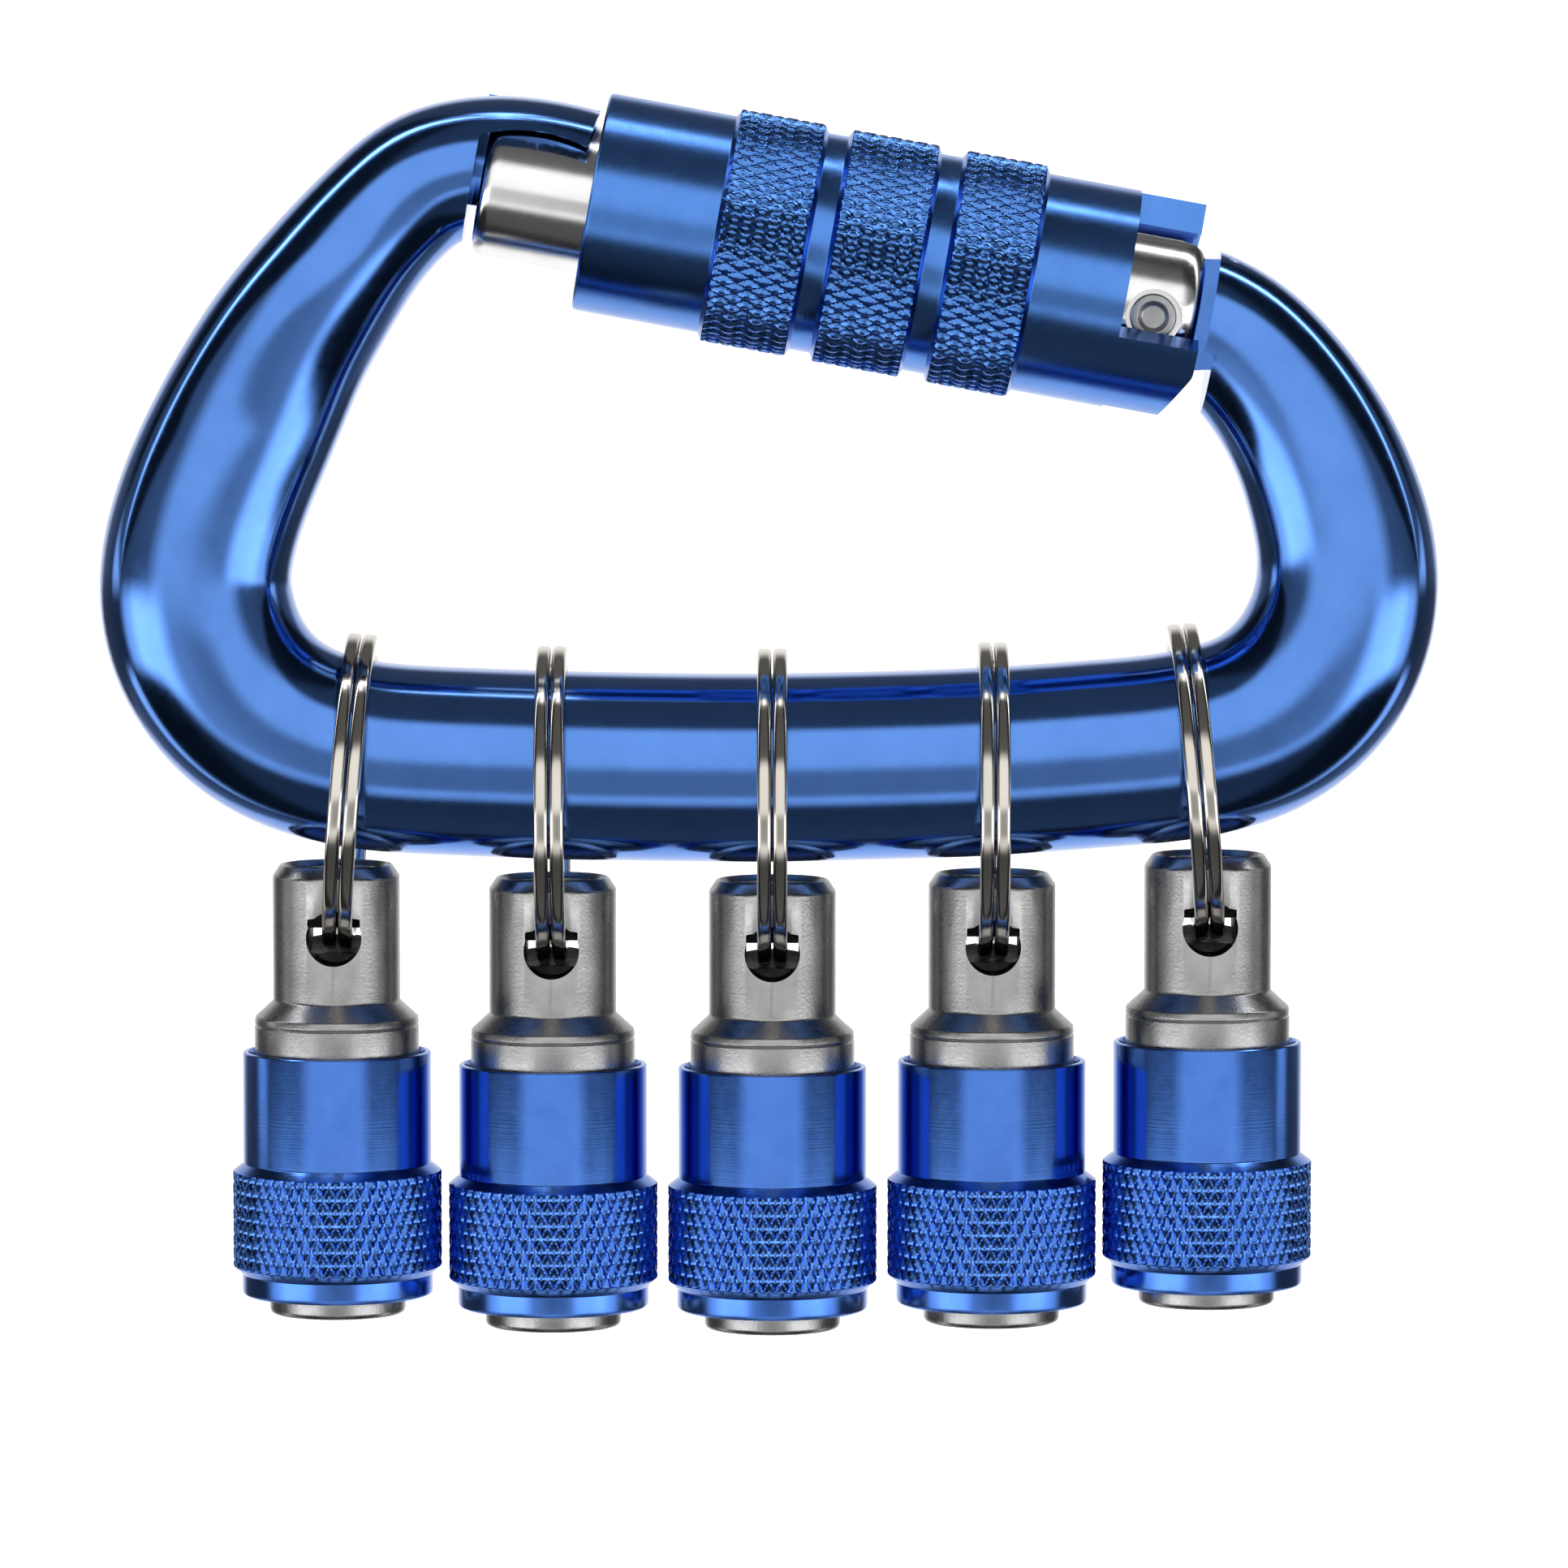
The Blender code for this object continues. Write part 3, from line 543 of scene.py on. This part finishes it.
def build_sleeve(gate):
    """The knurled sleeve with its two notches, and the bush and spring inside it."""
    r, k = SLEEVE_RADIUS, KNURL_RADIUS
    outline = [(SLEEVE_BORE + 0.3, 43, 0), (r, 43, 0)]
    for low, high in reversed(SLEEVE_BANDS):
        outline += [(r, high + 0.3, 0.05), (k, high, 0.12), (k, low, 0.12), (r, low - 0.3, 0.05)]
    outline += [(r, 0, 0.35), (6.45, 0, 0.2), (6.45, 3.4, 0), (SLEEVE_BORE, 3.4, 0),
                (SLEEVE_BORE, 9.0, 0), (6.4, 9.0, 0), (6.4, 27.0, 0), (SLEEVE_BORE, 27.0, 0),
                (SLEEVE_BORE, 42.7, 0)]
    tube = spun("sleeve", rounded(outline, 3), KNURL_SIDES, SLEEVE_BANDS)
    steps = []
    for turn in (0, 180):
        angles = [radians(turn + NOTCH_ANGLES[0] + (NOTCH_ANGLES[1] - NOTCH_ANGLES[0]) * i / 24)
                  for i in range(25)]
        wedge = [(0, 0)] + [(14 * sin(a), -14 * cos(a)) for a in angles]
        steps.append(("DIFFERENCE", plate(wedge, NOTCH_S, 50)))
    end = rounded([(-9, 40.4, 0), (-0.5, 40.4, 0), (0.5, 41.2, 0), (4.2, 41.2, 1.2), (7.1, 39.6, 0.8),
                   (9, 38.4, 0), (9, 50, 0), (-9, 50, 0)])
    steps.append(("DIFFERENCE", plate(end, -9, 9, across=True)))
    place("knurled_sleeve", joined(tube, *steps), gate, "sleeve_body", "locking_sleeve",
          LOOK["sleeve"])
    ring = spun("bush", rounded([(5.25, 26.7, 0.1), (6.1, 26.7, 0.15), (6.1, 24.9, 0.15),
                                 (5.25, 24.9, 0.1)]), 96)
    place("turned_bush", ring, gate, "bush_body", "sleeve_bush", LOOK["brass"])
    place("sleeve_coil", coil(5.72, 0.6, 11.3, 22.0, 4, 48), gate, "gate_body", "sleeve_spring",
          LOOK["spring"])


# ---------------------------------------------------------------- rings and holders

def ring_mesh():
    """Two flat turns of one wire of rounded oblong section, stepping across at the back."""
    step, gap, count = radians(32), radians(3), 300
    start, end = step + gap, 4 * pi - step - gap
    path = []
    for i in range(count + 1):
        a = start + (end - start) * i / count
        u = min(max((a - (2 * pi - step)) / (2 * step), 0), 1)
        side = COIL_STEP * (u * u * (3 - 2 * u) - 0.5)
        taper = min(1.0, 0.75 + 8 * min(a - start, end - a))
        middle = RING_INNER + RING_WALL / 2
        path.append(((middle * sin(a), middle * cos(a), side), taper))
    w, h = RING_WALL / 2, COIL_WIDTH / 2
    section = rounded([(w, h, 0.3), (-w, h, 0.3), (-w, -h, 0.3), (w, -h, 0.3)], 5)
    return lofted("ring", path, section)


def holder_mesh():
    """The steel body, with the hex socket below and the cross hole that the ring turns in."""
    neck, low, end = NECK_RADIUS, LOWER_RADIUS, -HOLDER_LENGTH
    body = spun("holder", rounded([
        (3.68, 0, 0.15), (neck, -0.85, 0.35), (neck, -9.2, 0.25), (5.45, -10.3, 0.2),
        (5.5, -10.75, 0.08), (5.38, -10.85, 0.05), (5.5, -10.95, 0.05), (5.5, -15, 0.1), (low, -15, 0),
        (low, -27.6, 0), (4.1, -27.6, 0), (4.1, -28.3, 0), (low, -28.3, 0), (low, end, 0.4), (0, end, 0),
        (0, -2.4, 0), (3.3, -2.0, 0.3), (3.3, -0.5, 0.2)]), 128)
    socket = spun("hexagon", [(0, end + SOCKET_DEPTH), (SOCKET_FLATS / sqrt(3), end + SOCKET_DEPTH),
                              (SOCKET_FLATS / sqrt(3), end - 1), (0, end - 1)], 6)
    mouth = spun("mouth", [(0, end + 0.6), (3.2, end + 0.6), (4.0, end - 0.2), (0, end - 0.2)], 96)
    inner, outer, half = TUNNEL
    tunnel = spun("tunnel", [(inner, half), (outer, half), (outer, -half), (inner, -half)], 256)
    tunnel.transform(Matrix.Translation((0, 0, RIM_BELOW_RING * MM)) @ Matrix.Rotation(pi / 2, 4, "Y"))
    mesh = joined(
        body,
        ("DIFFERENCE", drum(HOLE_RADIUS, -HOLE_FLOOR_Y, 6, 72, across=(0, -HOLE_DROP))),
        ("DIFFERENCE", tunnel),
        ("DIFFERENCE", socket),
        ("DIFFERENCE", mouth),
        ("DIFFERENCE", drum(1.3, 1, 6, 40, across=(0, -BALL_DROP))))
    return softened(mesh, 0.12, 50)


def collar_mesh():
    """The sliding collar, with a rib inside that holds the spring and the ball."""
    outline = rounded([
        (5.95, -COLLAR_TOP, 0.1), (6.3, -COLLAR_TOP, 0.22), (6.3, -20.15, 0.1), (COLLAR_KNURL, -20.7, 0.12),
        (COLLAR_KNURL, -27.05, 0.12), (6.4, -27.6, 0.1), (6.4, -COLLAR_END, 0.5), (5.6, -COLLAR_END, 0.15),
        (5.6, -27.4, 0), (4.85, -27.4, 0), (4.85, -25.4, 0), (5.8, -25.4, 0), (5.8, -13.2, 0.05)], 3)
    return spun("collar", outline, KNURL_SIDES, [(-27.05, -20.7)])


def build_set(number, parts):
    """One ring with its holder, placed by its joints and by the box of its CAD body."""
    ring_at = Vector(JOINTS[f"holder_swing_{number}"]["pos_m"])
    low, high = (Vector(corner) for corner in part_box(f"holder_{number}"))
    rim = Matrix.Translation(((low.x + high.x) / 2, 0, high.z))
    ring_low, ring_high = (Vector(corner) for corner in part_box(f"split_ring_{number}"))
    width = ring_high.x - ring_low.x
    lean = asin(min(max((width - 2 * MM) / (2 * RING_INNER * MM), 0), 0.2))
    lean *= (number > 3) - (number < 3)
    turn = Matrix(((0, 0, 1, 0), (0, 1, 0, 0), (-1, 0, 0, 0), (0, 0, 0, 1)))
    ring = Matrix.Translation(ring_at) @ Matrix.Rotation(-lean, 4, "Y") @ turn
    plan = (
        ("nickel_ring", ring, "ring_body", "split_ring", "ring_nickel", "nickel"),
        ("steel_holder", rim, "holder_body", "holder", "holder_steel", "steel"),
        ("blue_collar", rim, "collar_body", "collar", "collar_anodise", "collar"),
        ("collar_coil", rim, "holder_body", "collar_spring", "springs", "spring"),
        ("steel_ball", rim, "ball_body", "lock_ball", "ball_steel", "chrome"),
        ("wire_clip", rim, "holder_body", "snap_ring", "springs", "spring"),
    )
    placed = {}
    for name, matrix, body, node, slot, look in plan:
        placed[name] = place(f"{name}_{number}", parts[name].copy(), matrix, f"{body}_{number}",
                             f"{node}_{number}", LOOK[look])
    darken_hole(placed["steel_holder"], rim.translation)
    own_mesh(placed["collar_coil"])


def darken_hole(holder, rim):
    """Painted shade: the walls and floor of the cross hole get a near-black material in place of the shadow
    of a deep hole; this one has a floor, which would catch the light.
    """
    holder.data.materials.append(LOOK["hole_shade"])
    for face in holder.data.polygons:
        at = (face.center - rim) / MM
        if hypot(at.x, at.z + HOLE_DROP) < HOLE_RADIUS + 0.05 and hypot(at.x, at.y) < NECK_RADIUS - 0.12:
            face.material_index = 1


def ball_mesh():
    """The lock ball in its bore."""
    mesh = bpy.data.meshes.new("ball")
    bm = bmesh.new()
    bmesh.ops.create_icosphere(bm, subdivisions=3, radius=0.95 * MM)
    bm.to_mesh(mesh)
    bm.free()
    mesh.transform(Matrix.Translation(Vector((0, -BALL_OUT, -BALL_DROP)) * MM))
    return mesh


def clip_mesh():
    """The open wire ring that stops the collar."""
    path = [((4.82 * cos(radians(a)), 4.82 * sin(radians(a)), -27.95), 1) for a in range(22, 339, 4)]
    return lofted("clip", path, rounded([(0.42, 0.17, 0.08), (-0.42, 0.17, 0.08), (-0.42, -0.17, 0.08),
                                         (0.42, -0.17, 0.08)], 3))


# ---------------------------------------------------------------- studio

# Degrees from the camera's side, over the top (positive) or under (negative), and brightness there.
RISE_BANDS = ((-180, 0.8), (-125, 1.0), (-104, 0.9), (-92, 0.10), (-36, 0.07), (-26, 0.9), (0, 0.95),
              (32, 1.0), (42, 0.10), (83, 0.09), (88, 3.8), (97, 3.8), (102, 0.10), (140, 0.10),
              (160, 0.8), (180, 0.8))
# The same, to the right (positive) or left.
SIDE_BANDS = ((-180, 1.0), (-150, 0.9), (-135, 0.2), (-112, 0.12), (-105, 1.3), (-96, 1.3),
              (-88, 0.12), (-48, 0.2), (-26, 0.95), (0, 1.0), (26, 0.95), (48, 0.2), (88, 0.12),
              (96, 1.3), (105, 1.3), (112, 0.12), (135, 0.2), (150, 0.9), (180, 1.0))
# A level band in place of these, by the same angles as the side: bright panels with a dark slot between.
UPRIGHT_BANDS = ((-180, 1.0), (-158, 0.9), (-140, 0.08), (-94, 0.06), (-78, 1.2), (-62, 2.1),
                 (-38, 1.9), (-20, 0.6), (0, 0.35), (18, 0.45), (36, 1.8), (60, 2.1), (78, 1.2),
                 (94, 0.06), (140, 0.08), (160, 0.9), (180, 1.0))
# How far below level that band's middle lies, and how far from there it starts and stops fading.
LEVEL_BAND = (12.0, 7.0, 13.0)


def studio_world():
    """A pale studio: white to the camera, with soft dark bands that polished metal shows as contrast."""
    world = bpy.data.worlds.new("studio")
    bpy.context.scene.world = world
    world.use_nodes = True
    tree = world.node_tree
    tree.nodes.clear()

    def node(kind, **values):
        made = tree.nodes.new(kind)
        for key, value in values.items():
            setattr(made, key, value)
        return made

    def angle(up, side):
        """Direction as a share of a full turn, half way round at the side that faces the camera."""
        turn = node("ShaderNodeMath", operation="ARCTAN2")
        tree.links.new(up, turn.inputs[0])
        tree.links.new(side, turn.inputs[1])
        share = node("ShaderNodeMath", operation="MULTIPLY_ADD")
        tree.links.new(turn.outputs[0], share.inputs[0])
        share.inputs[1].default_value, share.inputs[2].default_value = 0.5 / pi, 0.5
        return share.outputs[0]

    def ramp(source, stops):
        made = node("ShaderNodeValToRGB")
        made.color_ramp.interpolation = "EASE"
        marks = made.color_ramp.elements
        while len(marks) > 1:
            marks.remove(marks[-1])
        for i, (degrees, value) in enumerate(stops):
            mark = marks[0] if i == 0 else marks.new((degrees + 180) / 360)
            mark.position = (degrees + 180) / 360
            mark.color = (value, value, value, 1)
        tree.links.new(source, made.inputs[0])
        return made.outputs[0]

    where = node("ShaderNodeTexCoord").outputs["Generated"]
    split = node("ShaderNodeSeparateXYZ")
    tree.links.new(where, split.inputs[0])
    front = node("ShaderNodeMath", operation="MULTIPLY")
    tree.links.new(split.outputs["Y"], front.inputs[0])
    front.inputs[1].default_value = -1
    rise = ramp(angle(split.outputs["Z"], front.outputs[0]), RISE_BANDS)
    side = ramp(angle(split.outputs["X"], front.outputs[0]), SIDE_BANDS)
    upright = ramp(angle(split.outputs["X"], front.outputs[0]), UPRIGHT_BANDS)
    spread = node("ShaderNodeMapRange", interpolation_type="SMOOTHSTEP")
    away = node("ShaderNodeMath", operation="ABSOLUTE")
    offset = node("ShaderNodeMath", operation="ADD")
    tree.links.new(split.outputs["Z"], offset.inputs[0])
    offset.inputs[1].default_value = sin(radians(LEVEL_BAND[0]))
    tree.links.new(offset.outputs[0], away.inputs[0])
    tree.links.new(away.outputs[0], spread.inputs["Value"])
    for key, value in zip(("From Min", "From Max", "To Min", "To Max"),
                          (sin(radians(LEVEL_BAND[1])), sin(radians(LEVEL_BAND[2])), 1, 0)):
        spread.inputs[key].default_value = value
    bands = node("ShaderNodeMix", data_type="RGBA", blend_type="MULTIPLY")
    bands.inputs["Factor"].default_value = 1
    tree.links.new(rise, bands.inputs["A"])
    tree.links.new(side, bands.inputs["B"])
    room = node("ShaderNodeMix", data_type="RGBA")
    tree.links.new(spread.outputs["Result"], room.inputs["Factor"])
    tree.links.new(bands.outputs["Result"], room.inputs["A"])
    tree.links.new(upright, room.inputs["B"])
    seen = node("ShaderNodeLightPath")
    both = node("ShaderNodeMix", data_type="RGBA")
    tree.links.new(seen.outputs["Is Camera Ray"], both.inputs["Factor"])
    tree.links.new(room.outputs["Result"], both.inputs["A"])
    both.inputs["B"].default_value = (1, 1, 1, 1)
    shine = node("ShaderNodeBackground")
    shine.inputs["Strength"].default_value = STUDIO_STRENGTH
    tree.links.new(both.outputs["Result"], shine.inputs["Color"])
    out = node("ShaderNodeOutputWorld")
    tree.links.new(shine.outputs[0], out.inputs[0])


def build_stage():
    """A pale floor that glows a little, and one soft lamp. Neither shows in the metal."""
    half = FLOOR_HALF
    floor = bpy.data.objects.new("floor", new_mesh("floor", [
        (-half, -half, 0), (half, -half, 0), (half, half, 0), (-half, half, 0)], [(0, 1, 2, 3)]))
    floor.location.z = CAD_BOX[0][2] - FLOOR_DROP * MM
    bpy.context.scene.collection.objects.link(floor)
    pale = Nodes("pale_floor", metallic=0.0)
    made = pale.mix(pale.noise(0.01), (0.90, 0.90, 0.90), (0.93, 0.93, 0.93))
    pale.link(made, pale.shader.inputs["Base Color"])
    pale.shader.inputs["Roughness"].default_value = 0.9
    pale.shader.inputs["Emission Color"].default_value = (1, 1, 1, 1)
    pale.shader.inputs["Emission Strength"].default_value = FLOOR_GLOW
    floor.visible_glossy = False
    floor.data.materials.append(pale.material)
    light = bpy.data.lights.new("overhead", "AREA")
    light.size, light.energy = 1.2, LAMP_WATTS
    lamp = bpy.data.objects.new("overhead", light)
    lamp.location = (0.02, 0, 1.0)
    lamp.visible_glossy = False
    bpy.context.scene.collection.objects.link(lamp)


def build_camera():
    """A long lens that frames VIEW_WIDTH at the object."""
    lens = bpy.data.cameras.new("camera")
    lens.lens = lens.sensor_width * VIEW_DISTANCE / VIEW_WIDTH
    lens.clip_start, lens.clip_end = 0.01, 20
    camera = bpy.data.objects.new("camera", lens)
    bpy.context.scene.collection.objects.link(camera)
    rise = radians(VIEW_RISE)
    back = Vector((0, -cos(rise), sin(rise)))
    camera.location = (Vector((VIEW_CENTRE[0], 0, VIEW_CENTRE[1])) + back * VIEW_DISTANCE) * MM
    camera.rotation_euler = (-back).to_track_quat("-Z", "Y").to_euler()
    bpy.context.scene.camera = camera


GATE = gate_frame()
GATE_AXIS = tuple(GATE.to_3x3() @ Vector((0, 0, 1)))
LOOK = {
    "frame": metal("polished_blue_anodise", (0.078, 0.22, 0.64), (0.092, 0.25, 0.70), (0.10, 0.145),
                   (2.5, 0.0006), coat=0.5, peel=0.004),
    "sleeve": turned_metal("satin_blue_anodise", (0.085, 0.23, 0.64), (0.10, 0.26, 0.70),
                           (0.19, 0.24), GATE_AXIS, 7, 0.003),
    "collar": turned_metal("bright_blue_anodise", (0.068, 0.185, 0.60), (0.085, 0.215, 0.66),
                           (0.15, 0.19), (0, 0, 1), 8, 0.002),
    "silver": turned_metal("bare_aluminium", (0.80, 0.80, 0.81), (0.87, 0.87, 0.87), (0.15, 0.20),
                           GATE_AXIS, 9, 0.0015),
    "steel": turned_metal("blasted_steel", (0.33, 0.33, 0.335), (0.42, 0.42, 0.42), (0.24, 0.32),
                          (0, 0, 1), 5, 0.002, blast=0.010),
    # Painted shade: near-black steel for the walls and floor of the holder's cross hole.
    "hole_shade": metal("painted_hole_shade", (0.030, 0.030, 0.032), (0.05, 0.05, 0.05), (0.45, 0.60), (3.0, 0.003)),
    "nickel": metal("nickel_plate", (0.60, 0.56, 0.50), (0.68, 0.65, 0.60), (0.09, 0.15),
                    (3.0, 0.0012)),
    "chrome": metal("bearing_steel", (0.70, 0.70, 0.72), (0.78, 0.78, 0.79), (0.04, 0.09), (2.0, 0.0005)),
    "spring": metal("spring_steel", (0.30, 0.30, 0.31), (0.42, 0.42, 0.43), (0.22, 0.34), (5.0, 0.002)),
    "brass": turned_metal("bush_brass", (0.62, 0.44, 0.16), (0.75, 0.55, 0.24), (0.20, 0.30),
                          GATE_AXIS, 8, 0.003),
    "rivet": metal("rivet_steel", (0.34, 0.34, 0.35), (0.48, 0.48, 0.48), (0.30, 0.45), (4.0, 0.004)),
}
build_frame(GATE)
build_gate(GATE)
build_sleeve(GATE)
SHAPES = {"nickel_ring": ring_mesh(), "steel_holder": holder_mesh(), "blue_collar": collar_mesh(),
          "collar_coil": coil(5.15, 0.5, *COLLAR_SPRING, 4.5), "steel_ball": ball_mesh(),
          "wire_clip": clip_mesh()}
for set_number in range(1, 6):
    build_set(set_number, SHAPES)
studio_world()
build_stage()
bpy.context.scene.view_settings.view_transform = "Standard"
build_camera()

bpy.context.view_layer.update()
